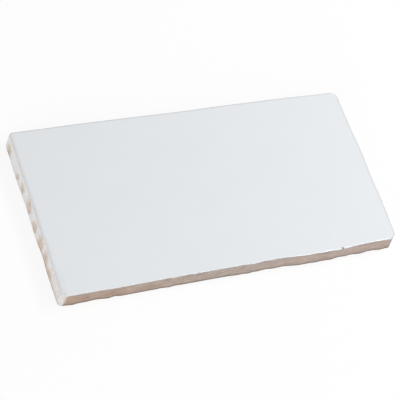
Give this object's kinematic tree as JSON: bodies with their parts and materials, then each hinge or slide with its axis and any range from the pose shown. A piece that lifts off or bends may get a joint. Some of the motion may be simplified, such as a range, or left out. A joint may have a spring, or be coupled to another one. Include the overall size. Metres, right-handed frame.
{
  "type": "ceramic wall tile",
  "caption": "Rectangular glazed ceramic wall tile with wavy pressed edges, a glossy white face lapped over its ends, bare clay long sides and a keyed back.",
  "frame": {"origin": "centre of the tile's underside, on the plane it is bedded on", "axes": "+X along the length, +Y along the width towards the back edge, +Z out of the glazed face"},
  "size_m": [0.1505, 0.0757, 0.0085],
  "materials": {
    "fired_clay": "matte, bare fired clay",
    "white_glaze": "gloss white glaze"
  },
  "bodies": {
    "root": {"clay_body": "fired_clay", "glaze_coat": "white_glaze"}
  },
  "joints": []
}
